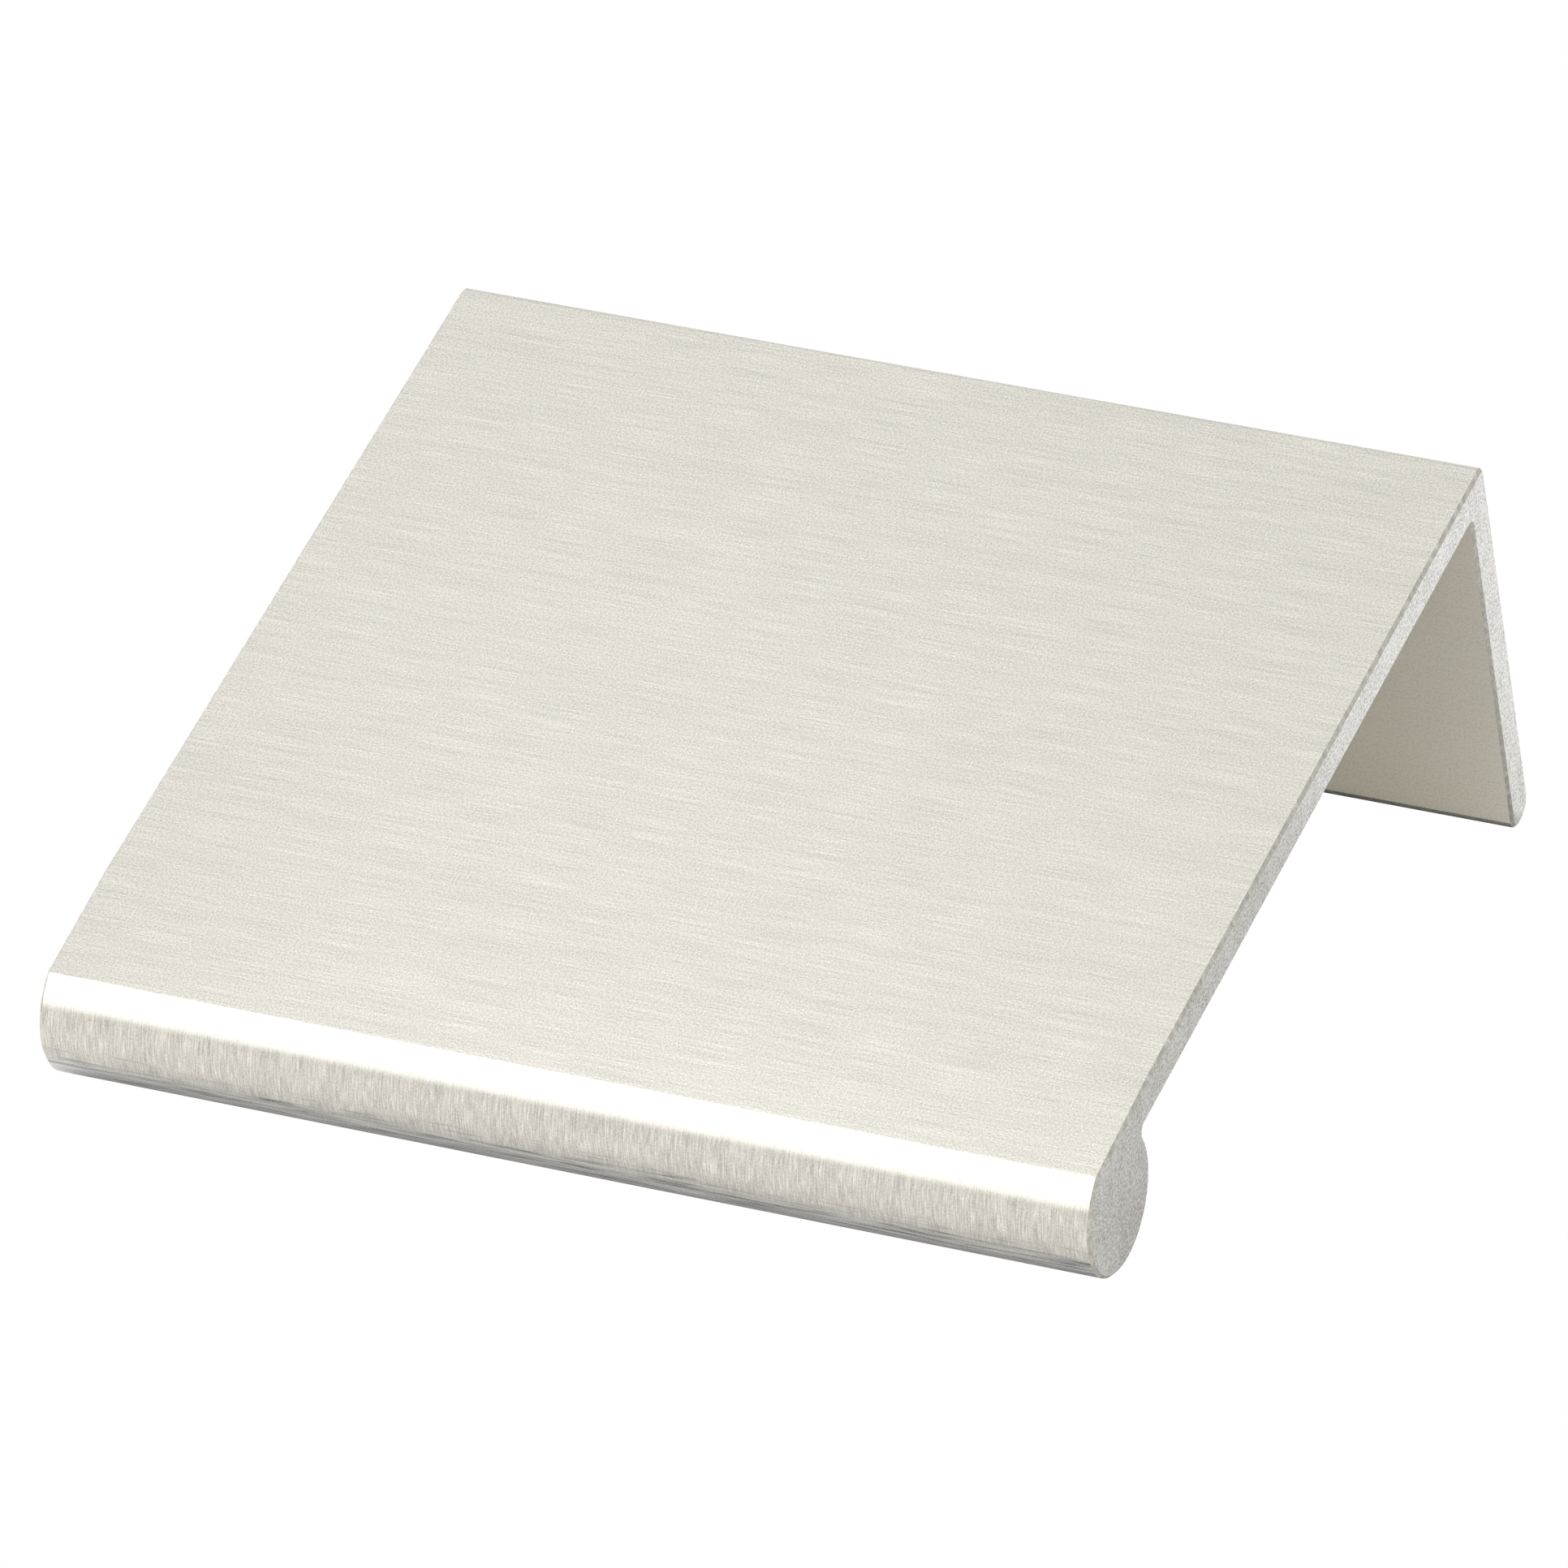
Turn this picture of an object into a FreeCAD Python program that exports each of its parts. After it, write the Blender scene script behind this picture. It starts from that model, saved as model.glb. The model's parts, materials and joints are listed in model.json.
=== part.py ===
import FreeCAD, Part
import math
import os
import Sketcher
from FreeCAD import Vector

os.makedirs("parts", exist_ok=True)

# A tab pull: one extruded length with a flat plate, a round bead along the front lip and a flange turned
# down at the back. The plate's brushed top falls a little over the lip and meets the round of the bead at
# a crease. The frame sits midway between the two screw holes, on the face of the flange that bears on the
# panel: +X along the length, +Y to the back of the flange, +Z up.

doc = FreeCAD.newDocument("tab_pull")

# Driving sizes, in millimetres
SIZES = {
    "length": 40.0,
    "overall_depth": 38.7,
    "overall_height": 16.65,
    "plate_thickness": 1.4,
    "flange_thickness": 1.5,
    "bead_diameter": 5.3,
    "lip_width": 5.0,
    "lip_fall": 0.28,
    "back_corner_radius": 0.3,
    "inner_corner_radius": 0.3,
    "bead_root_radius": 0.25,
    "foot_back_radius": 0.8,
    "foot_front_radius": 0.45,
    "end_break": 0.12,
    "hole_drop": 8.0,
    "hole_spacing": 16.0,
    "hole_diameter": 3.3,
    "countersink_diameter": 5.9,
    "countersink_angle": 90.0,
}

sheet = doc.addObject("Spreadsheet::Sheet", "Sizes")
for row, (name, value) in enumerate(SIZES.items(), start=1):
    sheet.set("A%d" % row, name)
    sheet.set("B%d" % row, "%g" % value)
    sheet.setAlias("B%d" % row, name)
doc.recompute()


def size(name):
    return SIZES[name]


body = doc.addObject("PartDesign::Body", "tab_pull")
planes = {feature.Role: feature for feature in body.Origin.OriginFeatures}


def point(sketch_x, sketch_y):
    return Vector(sketch_x, sketch_y, 0)


def line(sketch, start, end):
    return sketch.addGeometry(Part.LineSegment(point(*start), point(*end)), False)


def arc(sketch, centre, radius, start_degrees, end_degrees):
    circle = Part.Circle(point(*centre), Vector(0, 0, 1), radius)
    return sketch.addGeometry(
        Part.ArcOfCircle(circle, math.radians(start_degrees), math.radians(end_degrees)), False)


def dimension(sketch, name, expression, *constraint):
    index = sketch.addConstraint(Sketcher.Constraint(*constraint))
    sketch.renameConstraint(index, name)
    sketch.setExpression("Constraints." + name, expression)


START, END, CENTRE = range(1, 4)
HORIZONTAL_AXIS, VERTICAL_AXIS = range(-1, -3, -1)
ORIGIN_POINT = (HORIZONTAL_AXIS, START)

# Section of the extrusion, in the YZ plane: sketch x is +Y and sketch y is +Z
section = body.newObject("Sketcher::SketchObject", "Section")
section.AttachmentSupport = [(planes["YZ_Plane"], "")]
section.MapMode = "FlatFace"

underside_z = size("hole_drop")
top_z = underside_z + size("plate_thickness")
bottom_z = top_z - size("overall_height")
back_y = size("flange_thickness")
bead_radius = size("bead_diameter") / 2
bead_y = back_y - size("overall_depth") + bead_radius
bead_z = top_z - bead_radius
crease_z = top_z - size("lip_fall")
crease_y = bead_y - math.sqrt(bead_radius ** 2 - (crease_z - bead_z) ** 2)
crease_angle = math.degrees(math.atan2(crease_z - bead_z, crease_y - bead_y))
lip_y = crease_y + size("lip_width")
corner = size("back_corner_radius")
inner = size("inner_corner_radius")
root = size("bead_root_radius")
foot_back = size("foot_back_radius")
foot_front = size("foot_front_radius")
root_z = underside_z - root
root_y = bead_y + math.sqrt((bead_radius + root) ** 2 - (root_z - bead_z) ** 2)
root_angle = math.degrees(math.atan2(root_z - bead_z, root_y - bead_y))

plate_top = line(section, (back_y - corner, top_z), (lip_y, top_z))
lip = line(section, (lip_y, top_z), (crease_y, crease_z))
bead = arc(section, (bead_y, bead_z), bead_radius, crease_angle, 360 + root_angle)
bead_root = arc(section, (root_y, root_z), root, 90, 180 + root_angle)
underside = line(section, (root_y, underside_z), (-inner, underside_z))
inner_corner = arc(section, (-inner, underside_z - inner), inner, 0, 90)
seat = line(section, (0, underside_z - inner), (0, bottom_z + foot_front))
front_round = arc(section, (foot_front, bottom_z + foot_front), foot_front, 180, 270)
foot_end = line(section, (foot_front, bottom_z), (back_y - foot_back, bottom_z))
back_round = arc(section, (back_y - foot_back, bottom_z + foot_back), foot_back, 270, 360)
back = line(section, (back_y, bottom_z + foot_back), (back_y, top_z - corner))
back_corner = arc(section, (back_y - corner, top_z - corner), corner, 0, 90)

for smooth in (
    (bead, END, bead_root, END),
    (bead_root, START, underside, START),
    (underside, END, inner_corner, END),
    (inner_corner, START, seat, START),
    (seat, END, front_round, START),
    (front_round, END, foot_end, START),
    (foot_end, END, back_round, START),
    (back_round, END, back, START),
    (back, END, back_corner, START),
    (back_corner, END, plate_top, START),
):
    section.addConstraint(Sketcher.Constraint("Tangent", *smooth))
for sharp in (
    (plate_top, END, lip, START),
    (lip, END, bead, START),
):
    section.addConstraint(Sketcher.Constraint("Coincident", *sharp))
for level in (plate_top, underside, foot_end):
    section.addConstraint(Sketcher.Constraint("Horizontal", level))
for upright in (seat, back):
    section.addConstraint(Sketcher.Constraint("Vertical", upright))
section.addConstraint(Sketcher.Constraint("PointOnObject", seat, START, VERTICAL_AXIS))

dimension(section, "hole_drop", "Sizes.hole_drop",
          "DistanceY", *ORIGIN_POINT, underside, END, underside_z)
dimension(section, "plate_thickness", "Sizes.plate_thickness",
          "DistanceY", underside, END, plate_top, START, size("plate_thickness"))
dimension(section, "overall_height", "Sizes.overall_height",
          "DistanceY", foot_end, END, plate_top, START, size("overall_height"))
dimension(section, "flange_thickness", "Sizes.flange_thickness",
          "DistanceX", seat, START, back, START, size("flange_thickness"))
dimension(section, "bead_reach", "Sizes.overall_depth - Sizes.bead_diameter / 2",
          "DistanceX", bead, CENTRE, back, START, size("overall_depth") - bead_radius)
dimension(section, "bead_radius", "Sizes.bead_diameter / 2", "Radius", bead, bead_radius)
dimension(section, "bead_level", "Sizes.bead_diameter / 2",
          "DistanceY", bead, CENTRE, plate_top, START, bead_radius)
dimension(section, "lip_width", "Sizes.lip_width", "DistanceX", lip, END, lip, START, size("lip_width"))
dimension(section, "lip_fall", "Sizes.lip_fall", "DistanceY", lip, END, lip, START, size("lip_fall"))
dimension(section, "bead_root_radius", "Sizes.bead_root_radius", "Radius", bead_root, root)
dimension(section, "inner_corner_radius", "Sizes.inner_corner_radius", "Radius", inner_corner, inner)
dimension(section, "foot_back_radius", "Sizes.foot_back_radius", "Radius", back_round, foot_back)
dimension(section, "foot_front_radius", "Sizes.foot_front_radius", "Radius", front_round, foot_front)
dimension(section, "back_corner_radius", "Sizes.back_corner_radius", "Radius", back_corner, corner)
doc.recompute()

# The section drawn out to its length, half to each side of the middle
extrusion = body.newObject("PartDesign::Pad", "Extrusion")
extrusion.Profile = section
extrusion.SideType = "Symmetric"
extrusion.setExpression("Length", "Sizes.length")
section.Visibility = False
doc.recompute()


# The sawn ends, with every edge broken
def end_edges(shape, tolerance=1e-6):
    names = []
    for number, edge in enumerate(shape.Edges, start=1):
        box = edge.BoundBox
        on_end = abs(abs(box.XMin) - size("length") / 2) < tolerance
        if on_end and box.XLength < tolerance:
            names.append("Edge%d" % number)
    return names


broken_ends = body.newObject("PartDesign::Chamfer", "BrokenEnds")
broken_ends.Base = (extrusion, end_edges(extrusion.Shape))
broken_ends.setExpression("Size", "Sizes.end_break")
doc.recompute()

# Two screw holes through the flange, countersunk from the back
hole_centres = body.newObject("Sketcher::SketchObject", "HoleCentres")
hole_centres.AttachmentSupport = [(planes["XZ_Plane"], "")]
hole_centres.MapMode = "FlatFace"
hole_centres.setExpression("AttachmentOffset.Base.z", "-Sizes.flange_thickness")
for side, name in ((-1, "left"), (1, "right")):
    spot = point(side * size("hole_spacing") / 2, 0)
    circle = hole_centres.addGeometry(
        Part.Circle(spot, Vector(0, 0, 1), size("hole_diameter") / 2), False)
    hole_centres.addConstraint(Sketcher.Constraint("PointOnObject", circle, CENTRE, HORIZONTAL_AXIS))
    ends = (*ORIGIN_POINT, circle, CENTRE) if side > 0 else (circle, CENTRE, *ORIGIN_POINT)
    dimension(hole_centres, name + "_offset", "Sizes.hole_spacing / 2",
              "DistanceX", *ends, size("hole_spacing") / 2)
    dimension(hole_centres, name + "_diameter", "Sizes.hole_diameter",
              "Diameter", circle, size("hole_diameter"))
doc.recompute()

screw_holes = body.newObject("PartDesign::Hole", "ScrewHoles")
screw_holes.Profile = hole_centres
screw_holes.Reversed = True
screw_holes.Threaded = False
screw_holes.DepthType = "Dimension"
screw_holes.DrillPoint = "Flat"
screw_holes.setExpression("Diameter", "Sizes.hole_diameter")
screw_holes.setExpression("Depth", "2 * Sizes.flange_thickness")
screw_holes.HoleCutType = "Countersink"
screw_holes.HoleCutCustomValues = True
screw_holes.setExpression("HoleCutCountersinkAngle", "Sizes.countersink_angle")
screw_holes.setExpression("HoleCutDiameter", "Sizes.countersink_diameter")
hole_centres.Visibility = False
doc.recompute()

# Checks, then the STEP file
for checked in doc.Objects:
    if "Invalid" in checked.State or "Error" in checked.State:
        raise RuntimeError("%s did not recompute: %s" % (checked.Name, checked.State))
for sketch in (section, hole_centres):
    if sketch.solve() != 0 or not sketch.FullyConstrained:
        raise RuntimeError("%s is not fully constrained" % sketch.Name)
if body.Shape.isNull() or not body.Shape.isValid() or len(body.Shape.Solids) != 1:
    raise RuntimeError("the tab pull is not one valid solid")
body.Shape.exportStep("parts/tab_pull.step")

box = body.Shape.BoundBox
print("box", [round(value, 3) for value in (box.XMin, box.XMax, box.YMin, box.YMax, box.ZMin, box.ZMax)])
print("volume", round(body.Shape.Volume, 2))
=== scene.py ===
import json
import math

import bmesh
import bpy
from mathutils import Matrix, Quaternion, Vector


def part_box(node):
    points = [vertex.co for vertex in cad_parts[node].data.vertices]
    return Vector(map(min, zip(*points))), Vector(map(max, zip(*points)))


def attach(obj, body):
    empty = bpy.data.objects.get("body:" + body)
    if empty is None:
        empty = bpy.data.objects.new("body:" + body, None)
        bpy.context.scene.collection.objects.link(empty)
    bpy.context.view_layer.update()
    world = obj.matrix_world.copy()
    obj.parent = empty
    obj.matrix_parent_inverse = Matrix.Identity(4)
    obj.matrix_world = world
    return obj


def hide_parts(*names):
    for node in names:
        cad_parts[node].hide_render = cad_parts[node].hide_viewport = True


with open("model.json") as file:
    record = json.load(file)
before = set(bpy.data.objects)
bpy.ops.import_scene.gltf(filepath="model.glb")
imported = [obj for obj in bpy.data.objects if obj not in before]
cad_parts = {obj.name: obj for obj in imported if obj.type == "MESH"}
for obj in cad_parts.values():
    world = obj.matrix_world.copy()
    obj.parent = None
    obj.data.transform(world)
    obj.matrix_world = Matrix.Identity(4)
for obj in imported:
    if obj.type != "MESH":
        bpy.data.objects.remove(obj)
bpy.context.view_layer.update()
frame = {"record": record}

# Sizes in metres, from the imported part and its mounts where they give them
MM = 0.001
low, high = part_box("tab_pull")
mounts = {mount["name"]: mount for mount in frame["record"]["mounts"]}
SEAT_Y = mounts["flange_seat"]["pos_m"][1]
UNDERSIDE_Z = mounts["edge_seat"]["pos_m"][2]
HOLE_Z = mounts["screw_holes"]["pos_m"][2]
HOLE_SPACING = mounts["screw_holes"]["dims"]["spacing_x_mm"] * MM
HOLE_RADIUS = mounts["screw_holes"]["dims"]["hole_r_mm"] * MM
COUNTERSINK_RADIUS = 2.95 * MM
BEAD_RADIUS = 2.65 * MM
BEAD_ROOT_RADIUS = 0.25 * MM
LIP_WIDTH = 5.0 * MM
LIP_FALL = 0.28 * MM
CREASE_WIDTH = 0.12 * MM
BACK_CORNER_RADIUS = 0.3 * MM
INNER_CORNER_RADIUS = 0.3 * MM
FOOT_BACK_RADIUS = 0.8 * MM
FOOT_FRONT_RADIUS = 0.45 * MM
END_BREAK = 0.12 * MM
BEAD_Y = low.y + BEAD_RADIUS
BEAD_Z = high.z - BEAD_RADIUS
CREASE_Z = high.z - LIP_FALL
CREASE_Y = BEAD_Y - math.sqrt(BEAD_RADIUS ** 2 - (CREASE_Z - BEAD_Z) ** 2)

# How finely the round stretches are cut, and the turn from which an edge stays sharp
BEAD_STEP = math.radians(2)
CREASE_SEGMENTS = 6
CORNER_SEGMENTS = 8
HOLE_SEGMENTS = 64
SHARP_ANGLE = math.radians(30)

# The finishes, in the order of the piece's material slots
FINISHES = ("plate_brushed", "bead_brushed", "bead_drawn", "extruded_satin_and_painted_light", "rounded_edge_painted_shade", "sawn_end",
            "broken_edge_shade_and_glints", "drilled_hole")
BEAD_FINISHES = ("bead_brushed", "bead_drawn")
CUT_FINISHES = ("sawn_end", "broken_edge_shade_and_glints", "drilled_hole")
BRUSH_MAP = "brush"

# How the faces of each finish are told apart: by parts of their normals, and by places on the bead
SQUARE_ON = 0.99
TURNED_ASIDE = 0.1
CREASE_FACING = (CREASE_Z - BEAD_Z) / BEAD_RADIUS
BEAD_MARGIN = 1.001
BRUSHED_TURN = math.radians(118)


# The pull's section and its body

def carry_round(bm, vert, centre_y, centre_z, angle, steps):
    """Carries a vertex round an arc in the section and gives the last vertex."""
    made = bmesh.ops.spin(
        bm, geom=[vert], cent=(vert.co.x, centre_y, centre_z), axis=(1, 0, 0),
        angle=angle, steps=steps, use_duplicate=False)
    return next(item for item in made["geom_last"] if isinstance(item, bmesh.types.BMVert))


def draw_section(bm):
    """The section at the left end as one face: plate, bead, flange, with their rounded corners."""
    def corner(y, z):
        return bm.verts.new((low.x, y, z))

    root_z = UNDERSIDE_Z - BEAD_ROOT_RADIUS
    root_rise = root_z - BEAD_Z
    root_reach = math.sqrt((BEAD_RADIUS + BEAD_ROOT_RADIUS) ** 2 - root_rise ** 2)
    root_angle = math.atan2(root_rise, root_reach)
    crease_angle = math.atan2(CREASE_Z - BEAD_Z, CREASE_Y - BEAD_Y)
    bead_turn = 2 * math.pi + root_angle - crease_angle
    root_turn = 0.5 * math.pi + root_angle

    back_top = corner(high.y, high.z)
    lip_top = corner(CREASE_Y + LIP_WIDTH, high.z)
    crease = corner(CREASE_Y, CREASE_Z)
    bead_end = carry_round(bm, crease, BEAD_Y, BEAD_Z, bead_turn, math.ceil(bead_turn / BEAD_STEP))
    plate_root = carry_round(bm, bead_end, BEAD_Y + root_reach, root_z, -root_turn, CORNER_SEGMENTS)
    inner = corner(SEAT_Y, UNDERSIDE_Z)
    foot_front = corner(SEAT_Y, low.z)
    foot_back = corner(high.y, low.z)
    for start, end in (
        (crease, lip_top),
        (lip_top, back_top),
        (back_top, foot_back),
        (foot_back, foot_front),
        (foot_front, inner),
        (inner, plate_root),
    ):
        bm.edges.new((start, end))
    bmesh.ops.contextual_create(bm, geom=bm.edges[:])
    for vert, size, segments in (
        (back_top, BACK_CORNER_RADIUS, CORNER_SEGMENTS),
        (crease, CREASE_WIDTH, CREASE_SEGMENTS),
        (inner, INNER_CORNER_RADIUS, CORNER_SEGMENTS),
        (foot_back, FOOT_BACK_RADIUS, 2 * CORNER_SEGMENTS),
        (foot_front, FOOT_FRONT_RADIUS, CORNER_SEGMENTS),
    ):
        bmesh.ops.bevel(bm, geom=[vert], offset=size, offset_type="OFFSET", segments=segments,
                        profile=0.5, affect="VERTICES", material=-1)


def draw_out(bm):
    """Draws the section out to the pull's length and breaks the edges of both sawn ends."""
    made = bmesh.ops.extrude_face_region(bm, geom=bm.faces[:])
    moved = [item for item in made["geom"] if isinstance(item, bmesh.types.BMVert)]
    bmesh.ops.translate(bm, verts=moved, vec=(high.x - low.x, 0, 0))
    bmesh.ops.recalc_face_normals(bm, faces=bm.faces[:])
    end_edges = [
        edge for edge in bm.edges
        if abs(edge.verts[0].co.x - edge.verts[1].co.x) < 0.5 * END_BREAK]
    bmesh.ops.bevel(bm, geom=end_edges, offset=END_BREAK, offset_type="OFFSET", segments=1,
                    profile=0.5, affect="EDGES", clamp_overlap=False, material=-1)


def ring(bm, x, y, radius):
    """The edges of a circle about a screw hole's axis."""
    place = Matrix.Translation((x, y, HOLE_Z)) @ Matrix.Rotation(0.5 * math.pi, 4, "X")
    made = bmesh.ops.create_circle(
        bm, cap_ends=False, radius=radius, segments=HOLE_SEGMENTS, matrix=place)
    return list(dict.fromkeys(edge for vert in made["verts"] for edge in vert.link_edges))


def flange_face(bm, y):
    """The flange's wide face at that depth."""
    facing = [
        face for face in bm.faces
        if abs(face.normal.y) > SQUARE_ON and abs(face.calc_center_median().y - y) < END_BREAK]
    return max(facing, key=lambda face: face.calc_area())


def sink_holes(bm):
    """Cuts the two countersunk holes: each flange face is filled again round their rings."""
    neck_y = high.y - (COUNTERSINK_RADIUS - HOLE_RADIUS)
    mouths = {SEAT_Y: [], high.y: []}
    for x in (-0.5 * HOLE_SPACING, 0.5 * HOLE_SPACING):
        front = ring(bm, x, SEAT_Y, HOLE_RADIUS)
        neck = ring(bm, x, neck_y, HOLE_RADIUS)
        back = ring(bm, x, high.y, COUNTERSINK_RADIUS)
        bmesh.ops.bridge_loops(bm, edges=front + neck)
        bmesh.ops.bridge_loops(bm, edges=neck + back)
        mouths[SEAT_Y] += front
        mouths[high.y] += back
    for y, rims in mouths.items():
        face = flange_face(bm, y)
        outline = list(face.edges)
        bmesh.ops.delete(bm, geom=[face], context="FACES_ONLY")
        bmesh.ops.triangle_fill(bm, use_beauty=True, edges=outline + rims)
    bmesh.ops.recalc_face_normals(bm, faces=bm.faces[:])


def bead_angle(point):
    """The angle round the bead, from 0 at its top to the front, the underside and the back."""
    return (math.atan2(point.z - BEAD_Z, point.y - BEAD_Y) - 0.5 * math.pi) % (2 * math.pi)


def finish_of(face):
    """Which finish a face has, by where it lies and how it faces."""
    centre = face.calc_center_median()
    normal = face.normal
    hole_x = math.copysign(0.5 * HOLE_SPACING, centre.x)
    from_hole = math.hypot(centre.x - hole_x, centre.z - HOLE_Z)
    from_bead = math.hypot(centre.y - BEAD_Y, centre.z - BEAD_Z)
    in_flange = SEAT_Y < centre.y < high.y
    on_foot = centre.z < low.z + FOOT_FRONT_RADIUS and centre.y < SEAT_Y + FOOT_FRONT_RADIUS
    on_back = centre.z > high.z - BACK_CORNER_RADIUS and centre.y > high.y - BACK_CORNER_RADIUS
    if abs(normal.x) > SQUARE_ON:
        return "sawn_end"
    if in_flange and from_hole < COUNTERSINK_RADIUS and abs(normal.y) < SQUARE_ON:
        return "drilled_hole"
    if abs(normal.x) > TURNED_ASIDE:
        return "broken_edge_shade_and_glints"
    if normal.z > CREASE_FACING or on_back:
        return "plate_brushed"
    if from_bead < BEAD_MARGIN * BEAD_RADIUS:
        return "bead_brushed" if bead_angle(centre) < BRUSHED_TURN else "bead_drawn"
    if on_foot:
        return "rounded_edge_painted_shade"
    return "extruded_satin_and_painted_light"


def lay_finishes(bm):
    """Gives each face its finish, and a map in millimetres whose U runs across the brush lines."""
    brush = bm.loops.layers.uv.new(BRUSH_MAP)
    for face in bm.faces:
        finish = finish_of(face)
        face.material_index = FINISHES.index(finish)
        face.smooth = True
        across = Vector((1, 0, 0)).cross(face.normal)
        for loop in face.loops:
            point = loop.vert.co / MM
            if finish in BEAD_FINISHES:
                loop[brush].uv = (point.x, bead_angle(loop.vert.co) * BEAD_RADIUS / MM)
            elif finish in CUT_FINISHES:
                loop[brush].uv = (point.y + point.x, point.z)
            else:
                loop[brush].uv = (across.dot(point), point.x)


def make_pull(materials):
    bm = bmesh.new()
    draw_section(bm)
    draw_out(bm)
    sink_holes(bm)
    lay_finishes(bm)
    mesh = bpy.data.meshes.new("pull_body")
    bm.to_mesh(mesh)
    bm.free()
    mesh.set_sharp_from_angle(angle=SHARP_ANGLE)
    for finish in FINISHES:
        mesh.materials.append(materials[finish])
    pull = bpy.data.objects.new("pull_body", mesh)
    bpy.context.scene.collection.objects.link(pull)
    weighted = pull.modifiers.new("even_normals", "WEIGHTED_NORMAL")
    weighted.keep_sharp = True
    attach(pull, "root")
    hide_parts("tab_pull")


# Shader nodes and the groups that the finishes share

FLOAT = "NodeSocketFloat"
COLOR = "NodeSocketColor"

# The metal's nickel tone, and the paler one of barer metal
NICKEL = (0.80, 0.769, 0.694)
BARE_METAL = (0.77, 0.77, 0.765)

# The noise behind the lines, the bands and the grain, with the averages that are taken off it
NOISE_ROUGHNESS = 0.6
LINE_DETAIL = 3.0
BAND_DETAIL = 4.0
GRAIN_DETAIL = 1.0
NOISE_MEAN = 0.5
SQUARED_MEAN = 0.26

# A band's length and width, in those of a line
BAND_LENGTH = 4.0
BAND_WIDTH = 10.0

# How far a run-out reaches to each side of its edge, in spreads
RUN_OUT_REACH = 0.5

# What changes the metal's tone, and the sockets that say how much
CONTRASTS = {"Lines": "Line Contrast", "Bands": "Band Contrast", "Grain": "Grain Contrast"}
LINE_SIZES = ("Line Length", "Line Width", "Grain Size")


def add(tree, kind, **settings):
    node = tree.nodes.new(kind)
    for name, value in settings.items():
        setattr(node, name, value)
    return node


def math_node(tree, operation, *values):
    """The result of one operation on sockets and plain numbers."""
    node = add(tree, "ShaderNodeMath", operation=operation)
    for socket, value in zip(node.inputs, values):
        if isinstance(value, bpy.types.NodeSocket):
            tree.links.new(value, socket)
        else:
            socket.default_value = value
    return node.outputs[0]


def mix_colors(tree, factor, first, second):
    """The first colour where the factor is 0 and the second where it is 1."""
    node = add(tree, "ShaderNodeMix", data_type="RGBA")
    tree.links.new(factor, node.inputs["Factor"])
    sockets = [socket for socket in node.inputs if socket.type == "RGBA"]
    for socket, color in zip(sockets, (first, second)):
        if isinstance(color, bpy.types.NodeSocket):
            tree.links.new(color, socket)
        else:
            socket.default_value = (*color, 1)
    return next(socket for socket in node.outputs if socket.type == "RGBA")


def new_group(name, inputs, outputs):
    """An empty shader group with float inputs, given by name, and outputs, given by name and kind."""
    group = bpy.data.node_groups.new(name, "ShaderNodeTree")
    for socket in inputs:
        group.interface.new_socket(socket, in_out="INPUT", socket_type=FLOAT)
    for socket, kind in outputs.items():
        group.interface.new_socket(socket, in_out="OUTPUT", socket_type=kind)
    return group, add(group, "NodeGroupInput").outputs, add(group, "NodeGroupOutput").inputs


def line_noise(group, given, length, width, detail):
    """Noise drawn out along the brush lines: streaks of about that length and width."""
    place = add(group, "ShaderNodeCombineXYZ")
    group.links.new(math_node(group, "DIVIDE", given["Along"], length), place.inputs["X"])
    group.links.new(math_node(group, "DIVIDE", given["Across"], width), place.inputs["Y"])
    noise = add(group, "ShaderNodeTexNoise", noise_dimensions="2D")
    noise.inputs["Scale"].default_value = 1.0
    noise.inputs["Detail"].default_value = detail
    noise.inputs["Roughness"].default_value = NOISE_ROUGHNESS
    group.links.new(place.outputs[0], noise.inputs["Vector"])
    return noise.outputs["Fac"]


def brush_lines_group():
    """Fine lines, broad bands and grain, each about 0 on average, by place along and across the lines."""
    group, given, out = new_group(
        "brush_lines", ("Along", "Across", *LINE_SIZES), dict.fromkeys(CONTRASTS, FLOAT))
    band_length = math_node(group, "MULTIPLY", given["Line Length"], BAND_LENGTH)
    band_width = math_node(group, "MULTIPLY", given["Line Width"], BAND_WIDTH)
    lines = line_noise(group, given, given["Line Length"], given["Line Width"], LINE_DETAIL)
    squared = math_node(group, "MULTIPLY", lines, lines)
    bands = line_noise(group, given, band_length, band_width, BAND_DETAIL)
    grain = line_noise(group, given, given["Grain Size"], given["Grain Size"], GRAIN_DETAIL)
    for name, noise, mean in (
        ("Lines", squared, SQUARED_MEAN),
        ("Bands", bands, NOISE_MEAN),
        ("Grain", grain, NOISE_MEAN),
    ):
        group.links.new(math_node(group, "SUBTRACT", noise, mean), out[name])
    return group


def metal_tone_group():
    """Nickel, or barer metal as it gets paler, lighter and darker with its lines, bands and grain."""
    group, given, out = new_group(
        "metal_tone", (*CONTRASTS, *CONTRASTS.values(), "Brightness", "Paleness"), {"Color": COLOR})
    tone = given["Brightness"]
    for name, contrast in CONTRASTS.items():
        tone = math_node(group, "MULTIPLY_ADD", given[name], given[contrast], tone)
    scale = add(group, "ShaderNodeVectorMath", operation="SCALE")
    group.links.new(mix_colors(group, given["Paleness"], NICKEL, BARE_METAL), scale.inputs[0])
    group.links.new(tone, scale.inputs["Scale"])
    group.links.new(scale.outputs[0], out["Color"])
    return group


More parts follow.
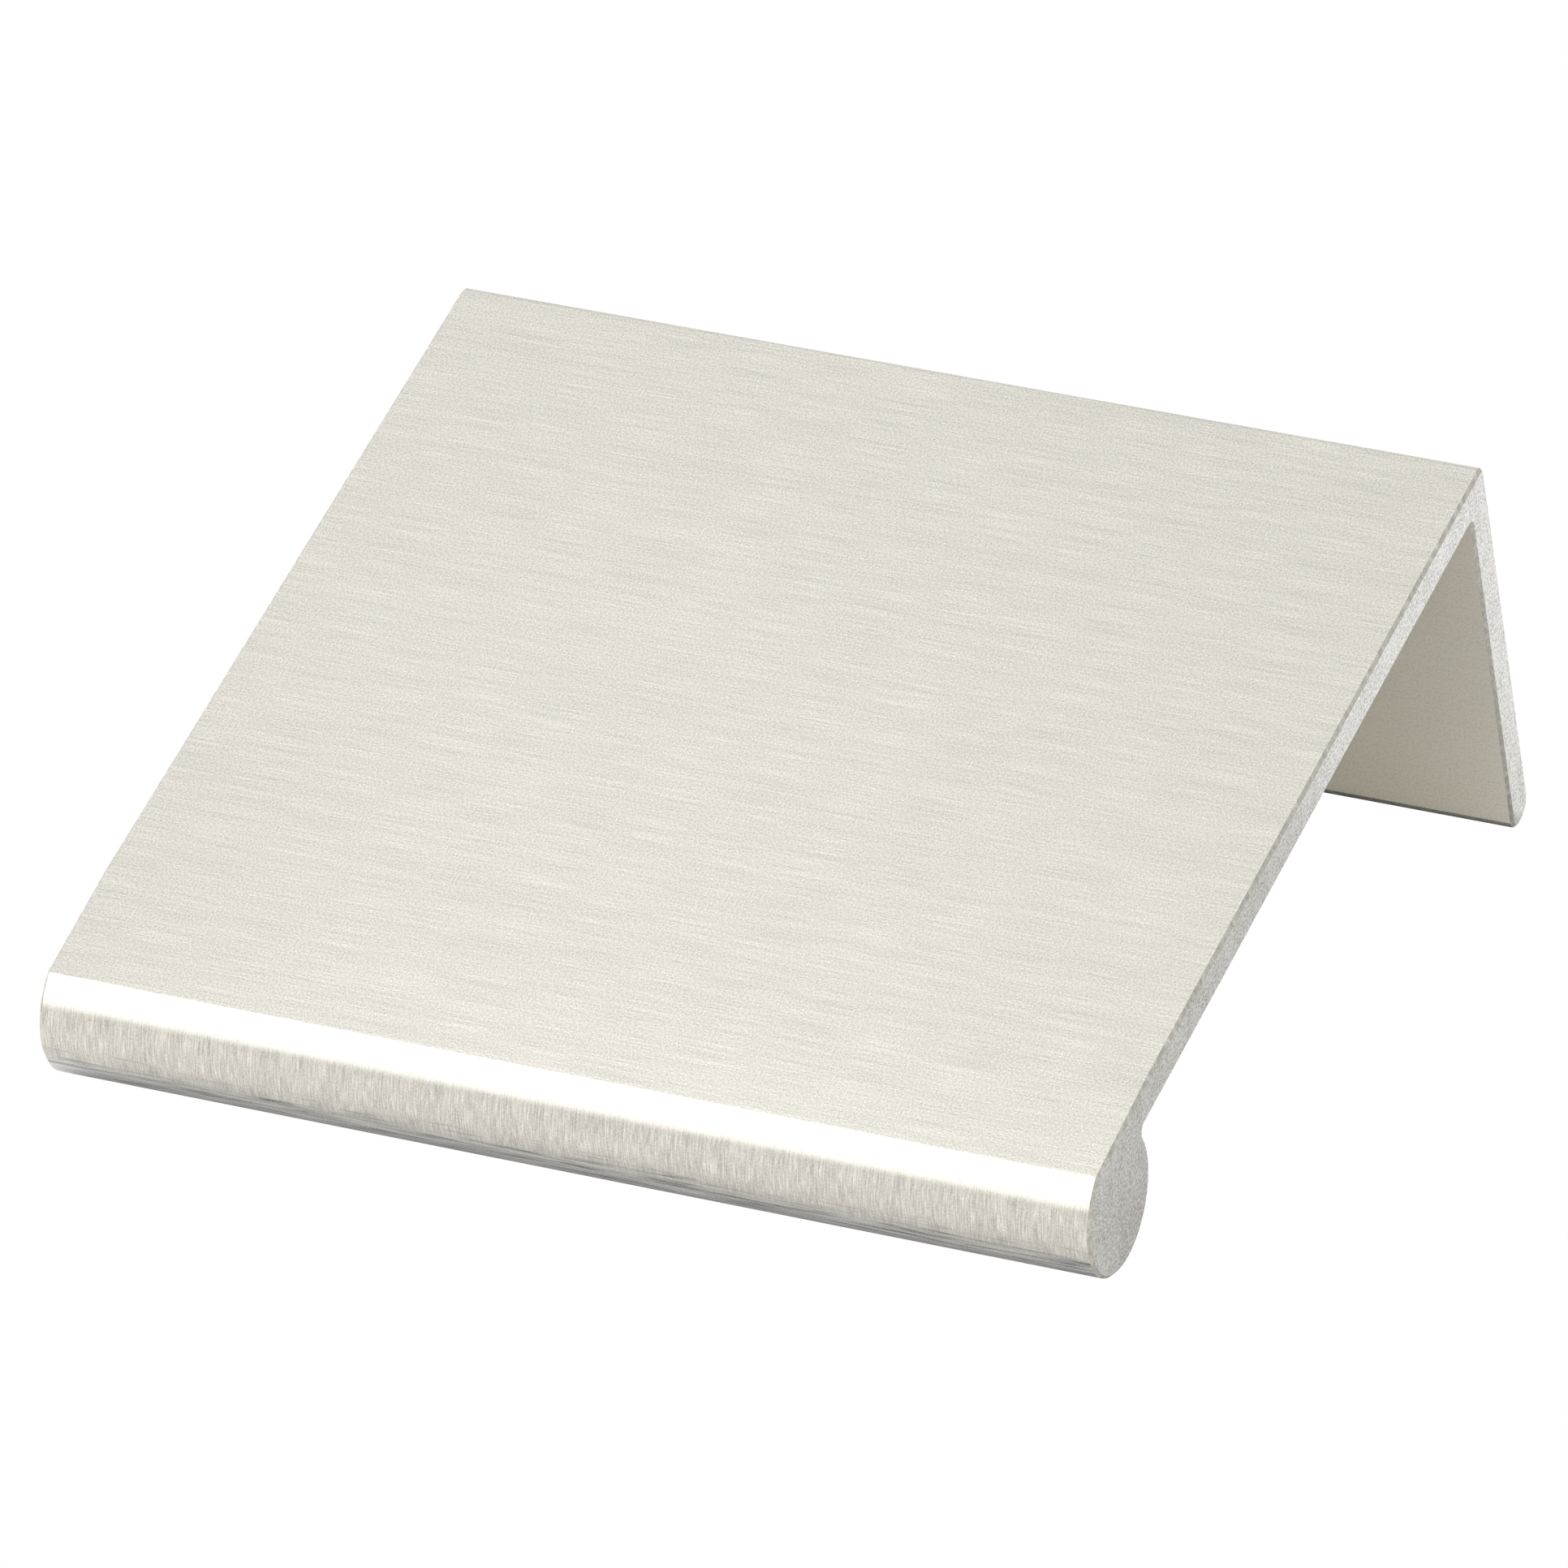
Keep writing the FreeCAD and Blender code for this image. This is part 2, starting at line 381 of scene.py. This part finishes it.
def run_out_group():
    """Where one finish runs out into the next: 0 before the edge, 1 past it, ragged along the lines."""
    group, given, out = new_group(
        "run_out", ("Place", "Edge", "Spread", "Lines", "Raggedness"), {"Mask": FLOAT})
    past_edge = math_node(group, "SUBTRACT", given["Place"], given["Edge"])
    in_spreads = math_node(group, "DIVIDE", past_edge, given["Spread"])
    ragged = math_node(group, "MULTIPLY_ADD", given["Lines"], given["Raggedness"], in_spreads)
    soft = add(group, "ShaderNodeMapRange", interpolation_type="SMOOTHSTEP")
    soft.inputs["From Min"].default_value = -RUN_OUT_REACH
    soft.inputs["From Max"].default_value = RUN_OUT_REACH
    group.links.new(ragged, soft.inputs["Value"])
    group.links.new(soft.outputs[0], out["Mask"])
    return group


# Places on the pull in millimetres, and along and across the lines of each kind of finish

def object_place(tree):
    """The place on the pull, as three sockets."""
    coordinates = add(tree, "ShaderNodeTexCoord")
    scaled = add(tree, "ShaderNodeVectorMath", operation="SCALE")
    scaled.inputs["Scale"].default_value = 1 / MM
    tree.links.new(coordinates.outputs["Object"], scaled.inputs[0])
    split = add(tree, "ShaderNodeSeparateXYZ")
    tree.links.new(scaled.outputs[0], split.inputs[0])
    return split.outputs


def map_place(tree):
    """The place on the brush map, with U and V as the sockets X and Y."""
    uv = add(tree, "ShaderNodeUVMap", uv_map=BRUSH_MAP)
    split = add(tree, "ShaderNodeSeparateXYZ")
    tree.links.new(uv.outputs[0], split.inputs[0])
    return split.outputs


def plate_place(tree):
    place = object_place(tree)
    return place["X"], place["Y"]


def bead_die_place(tree):
    place = map_place(tree)
    return place["X"], place["Y"]


def die_place(tree):
    place = object_place(tree)
    return place["X"], math_node(tree, "ADD", place["Y"], place["Z"])


def grain_place(tree):
    place = object_place(tree)
    return math_node(tree, "ADD", place["Y"], place["X"]), place["Z"]


# Finishes. A size is the lines' length and width and the grain's size, a contrast that of the lines, the
# bands and the grain, and a relief the lines' depth, with lengths in millimetres.

# The brush lines on the bead, and where round it they begin
BEAD_ROUGHNESS = 0.34
BEAD_ANISOTROPY = 0.85
BRUSHED_SIZE = (0.8, 0.05, 0.075)
BRUSHED_CONTRAST = (1.10, 0.35, 0.45)
BRUSHED_BRIGHTNESS = 0.93
BRUSHED_RELIEF = 0.004
BRUSHED_EDGE = math.radians(52.5)
BRUSHED_SPREAD = math.radians(9)
BRUSHED_RAGGEDNESS = -2.5

# The die's lines on the bead, weaker on its underside, and where round it they begin. Their darker tone
# is partly the barer metal's own and partly painted shade, for the contact shadow under the bead.
DRAWN_SIZE = (3.0, 0.16, 0.075)
DRAWN_CONTRAST = (-1.70, 0.10, 0.60)
UNDERSIDE_CONTRAST = (-0.90, 0.10, 0.40)
DRAWN_TONE_AND_SHADE = 0.82
DRAWN_PALENESS = 0.7
DRAWN_EDGE = math.radians(97)
DRAWN_SPREAD = math.radians(22)
DRAWN_RAGGEDNESS = 1.2

# The finishes that have one kind of lines
LINED_FINISHES = {
    "plate_brushed": dict(
        place=plate_place, roughness=0.36, anisotropic=0.8, size=(3.0, 0.045, 0.075),
        contrast=(0.50, 0.14, 0.72), relief=0.002, brightness=0.985, paleness=0.11),
    "bead_drawn": dict(
        place=bead_die_place, roughness=0.3, size=DRAWN_SIZE,
        contrast=UNDERSIDE_CONTRAST, relief=0.002, brightness=DRAWN_TONE_AND_SHADE, paleness=DRAWN_PALENESS),
    # This satin is lighter than the plate partly as a more reflective metal and partly as painted light,
    # brightening the flange's inner face and the faces under the plate as if more light reached them.
    "extruded_satin_and_painted_light": dict(
        place=die_place, roughness=0.5, anisotropic=0.3, size=(8.0, 0.15, 0.10),
        contrast=(0.10, 0.10, 0.40), relief=0.001, brightness=1.24),
    # The foot's front round is darkened as painted shade, for the contact shadow on the floor that it
    # faces.
    "rounded_edge_painted_shade": dict(
        place=die_place, roughness=0.4, size=(8.0, 0.15, 0.10),
        contrast=(0.20, 0.10, 0.40), relief=0.001, brightness=0.55),
    "sawn_end": dict(
        place=grain_place, roughness=0.22, size=(0.20, 0.12, 0.09),
        contrast=(1.20, 0.50, 1.40), relief=0.006, brightness=1.04, paleness=0.55),
    # The broken edges are darkened as painted shade, drawing a dark line along them, and their lighter
    # flecks are painted glints.
    "broken_edge_shade_and_glints": dict(
        place=grain_place, roughness=0.40, size=(0.30, 0.30, 0.10),
        contrast=(0.80, 0.20, 0.30), relief=0.006, brightness=0.74),
    "drilled_hole": dict(
        place=grain_place, roughness=0.35, size=(0.30, 0.10, 0.06),
        contrast=(0.20, 0.10, 0.10), relief=0.004),
}


def new_metal(name, roughness, anisotropic):
    material = bpy.data.materials.new(name)
    material.use_nodes = True
    tree = material.node_tree
    shader = tree.nodes["Principled BSDF"]
    shader.inputs["Metallic"].default_value = 1.0
    shader.inputs["Roughness"].default_value = roughness
    shader.inputs["Anisotropic"].default_value = anisotropic
    if anisotropic:
        tangent = add(tree, "ShaderNodeTangent", direction_type="UV_MAP", uv_map=BRUSH_MAP)
        tree.links.new(tangent.outputs[0], shader.inputs["Tangent"])
    return material, tree, shader


def metal_finish(tree, groups, along, across, size, contrast, brightness=1.0, paleness=0.0):
    """The line sockets and the colour of one finish, from its place along and across the lines."""
    lines = add(tree, "ShaderNodeGroup", node_tree=groups["brush_lines"])
    for socket, value in zip(LINE_SIZES, size):
        lines.inputs[socket].default_value = value
    tree.links.new(along, lines.inputs["Along"])
    tree.links.new(across, lines.inputs["Across"])
    tone = add(tree, "ShaderNodeGroup", node_tree=groups["metal_tone"])
    for socket, value in zip(CONTRASTS.values(), contrast):
        tone.inputs[socket].default_value = value
    tone.inputs["Brightness"].default_value = brightness
    tone.inputs["Paleness"].default_value = paleness
    for socket in CONTRASTS:
        tree.links.new(lines.outputs[socket], tone.inputs[socket])
    return lines.outputs, tone.outputs["Color"]


def raise_lines(tree, shader, height, relief):
    """Gives the surface the relief of its lines."""
    bump = add(tree, "ShaderNodeBump")
    bump.inputs["Distance"].default_value = relief * MM
    tree.links.new(height, bump.inputs["Height"])
    tree.links.new(bump.outputs[0], shader.inputs["Normal"])


def lined(name, groups, place, roughness, size, contrast, relief, anisotropic=0.0, **tone):
    """A finish with one kind of lines. place gives the sockets along and across them."""
    material, tree, shader = new_metal(name, roughness, anisotropic)
    along, across = place(tree)
    lines, color = metal_finish(tree, groups, along, across, size, contrast, **tone)
    tree.links.new(color, shader.inputs["Base Color"])
    raise_lines(tree, shader, lines["Lines"], relief)
    return material


def run_out(tree, groups, place, lines, edge, spread, raggedness):
    """The mask of a run-out on the bead, at an angle from its top and over a spread of angles."""
    node = add(tree, "ShaderNodeGroup", node_tree=groups["run_out"])
    tree.links.new(place, node.inputs["Place"])
    tree.links.new(lines, node.inputs["Lines"])
    node.inputs["Edge"].default_value = edge * BEAD_RADIUS / MM
    node.inputs["Spread"].default_value = spread * BEAD_RADIUS / MM
    node.inputs["Raggedness"].default_value = raggedness
    return node.outputs["Mask"]


def bead_brushed(groups):
    """Plain metal below the crease, then brush lines round the bead's front, which run out into the die's
    lines towards its underside, darker there as the barer metal's tone and as painted shade."""
    material, tree, shader = new_metal("bead_brushed", BEAD_ROUGHNESS, BEAD_ANISOTROPY)
    place = map_place(tree)
    lines, brushed_color = metal_finish(
        tree, groups, place["Y"], place["X"], BRUSHED_SIZE, BRUSHED_CONTRAST, BRUSHED_BRIGHTNESS)
    drawn_lines, drawn_color = metal_finish(
        tree, groups, place["X"], place["Y"], DRAWN_SIZE, DRAWN_CONTRAST, DRAWN_TONE_AND_SHADE,
        DRAWN_PALENESS)
    brushed = run_out(
        tree, groups, place["Y"], lines["Lines"], BRUSHED_EDGE, BRUSHED_SPREAD, BRUSHED_RAGGEDNESS)
    drawn = run_out(
        tree, groups, place["Y"], drawn_lines["Lines"], DRAWN_EDGE, DRAWN_SPREAD, DRAWN_RAGGEDNESS)
    color = mix_colors(tree, brushed, NICKEL, brushed_color)
    tree.links.new(mix_colors(tree, drawn, color, drawn_color), shader.inputs["Base Color"])
    raise_lines(tree, shader, lines["Lines"], BRUSHED_RELIEF)
    return material


def make_materials():
    groups = {
        "brush_lines": brush_lines_group(),
        "metal_tone": metal_tone_group(),
        "run_out": run_out_group(),
    }
    materials = {name: lined(name, groups, **look) for name, look in LINED_FINISHES.items()}
    materials["bead_brushed"] = bead_brushed(groups)
    return materials


# The studio: the pull lies on its bead and its flange's foot, so the floor slopes in the pull's own frame

FOOT_Y = SEAT_Y + FOOT_FRONT_RADIUS
FOOT_Z = low.z + FOOT_FRONT_RADIUS


def floor_slope():
    """How steeply the floor rises to the front, under the rounds of the flange's foot and the bead."""
    run = FOOT_Y - BEAD_Y
    rise = BEAD_Z - FOOT_Z
    return math.atan2(rise, run) - math.asin((BEAD_RADIUS - FOOT_FRONT_RADIUS) / math.hypot(run, rise))


SLOPE = Matrix.Rotation(-floor_slope(), 4, "X")
STUDIO = Matrix.Translation((0, FOOT_Y, FOOT_Z)) @ SLOPE @ Matrix.Translation((0, 0, -FOOT_FRONT_RADIUS))
FLOOR_SIZE = 3.0
FLOOR_TONE = 0.75
ROOM_TONE = 0.76
# Softboxes: sides and distance in metres, bearing from the back towards the right and height angle in
# degrees, and radiance
SOFTBOXES = {
    "overhead_softbox": ((0.148, 0.04), 0.152, -147, 75.5, 0.82),
    "front_softbox": ((1.34, 0.73), 0.80, -158, 32.8, 0.95),
    "left_softbox": ((0.4, 0.6), 0.80, -90, 28, 4.6),
    "right_softbox": ((1.2, 0.7), 0.80, 118, 36, 0.15),
}


def direction(bearing, height_angle):
    """The way towards a bearing, from the back towards the right, at a height angle."""
    return Vector((
        math.sin(bearing) * math.cos(height_angle),
        math.cos(bearing) * math.cos(height_angle),
        math.sin(height_angle)))


def camera_ray(tree):
    return add(tree, "ShaderNodeLightPath").outputs["Is Camera Ray"]


def choose_shader(tree, factor, first, second):
    """The first shader where the factor is 0 and the second where it is 1."""
    chosen = add(tree, "ShaderNodeMixShader")
    for source, socket in zip((factor, first.outputs[0], second.outputs[0]), chosen.inputs):
        tree.links.new(source, socket)
    return chosen


def make_floor():
    """A pale floor, evenly white to the camera and clear from below, which the pull reflects with its own
    shade on it."""
    bm = bmesh.new()
    bmesh.ops.create_grid(bm, x_segments=1, y_segments=1, size=0.5 * FLOOR_SIZE, matrix=STUDIO)
    mesh = bpy.data.meshes.new("floor")
    bm.to_mesh(mesh)
    bm.free()
    material = bpy.data.materials.new("pale_floor")
    material.use_nodes = True
    tree = material.node_tree
    tree.nodes.remove(tree.nodes["Principled BSDF"])
    matt = add(tree, "ShaderNodeBsdfDiffuse")
    matt.inputs["Color"].default_value = (FLOOR_TONE, FLOOR_TONE, FLOOR_TONE, 1)
    white = add(tree, "ShaderNodeEmission")
    clear = add(tree, "ShaderNodeBsdfTransparent")
    from_below = add(tree, "ShaderNodeNewGeometry").outputs["Backfacing"]
    seen = choose_shader(tree, camera_ray(tree), matt, white)
    sided = choose_shader(tree, from_below, seen, clear)
    tree.links.new(sided.outputs[0], tree.nodes["Material Output"].inputs["Surface"])
    mesh.materials.append(material)
    floor = bpy.data.objects.new("floor", mesh)
    bpy.context.scene.collection.objects.link(floor)


def make_room():
    """White behind the pull, and a softer grey room for it to reflect."""
    world = bpy.data.worlds.new("room")
    world.use_nodes = True
    tree = world.node_tree
    room = tree.nodes["Background"]
    room.inputs["Color"].default_value = (ROOM_TONE, ROOM_TONE, ROOM_TONE, 1)
    white = add(tree, "ShaderNodeBackground")
    white.inputs["Color"].default_value = (1, 1, 1, 1)
    seen = choose_shader(tree, camera_ray(tree), room, white)
    tree.links.new(seen.outputs[0], tree.nodes["World Output"].inputs["Surface"])
    bpy.context.scene.world = world


def make_softboxes():
    for name, (sides, distance, bearing, height_angle, radiance) in SOFTBOXES.items():
        light = bpy.data.lights.new(name, "AREA")
        light.shape = "RECTANGLE"
        light.size, light.size_y = sides
        light.energy = radiance * math.pi * light.size * light.size_y
        away = direction(math.radians(bearing), math.radians(height_angle))
        facing = away.to_track_quat("Z", "Y").to_matrix().to_4x4()
        softbox = bpy.data.objects.new(name, light)
        softbox.matrix_world = STUDIO @ Matrix.Translation(away * distance) @ facing
        bpy.context.scene.collection.objects.link(softbox)


# The camera, at the photograph's angle
CAMERA_AZIMUTH = math.radians(29.381)
CAMERA_ELEVATION = math.radians(42.113)
CAMERA_ROLL = math.radians(-10.020)
CAMERA_DISTANCE = 0.570
CAMERA_AIM = Vector((-0.305, -16.511, 5.337)) * MM
CAMERA_LENS = 368.11
CAMERA_NEAREST = 0.057
CAMERA_FARTHEST = 30.0


def make_camera():
    away = direction(math.pi - CAMERA_AZIMUTH, CAMERA_ELEVATION)
    data = bpy.data.cameras.new("camera")
    data.lens = CAMERA_LENS
    data.clip_start = CAMERA_NEAREST
    data.clip_end = CAMERA_FARTHEST
    camera = bpy.data.objects.new("camera", data)
    camera.location = CAMERA_AIM + away * CAMERA_DISTANCE
    camera.rotation_mode = "QUATERNION"
    camera.rotation_quaternion = away.to_track_quat("Z", "Y") @ Quaternion((0, 0, 1), CAMERA_ROLL)
    bpy.context.scene.collection.objects.link(camera)
    bpy.context.scene.camera = camera


make_pull(make_materials())
make_floor()
make_room()
make_softboxes()
make_camera()
bpy.context.scene.view_settings.view_transform = "Standard"
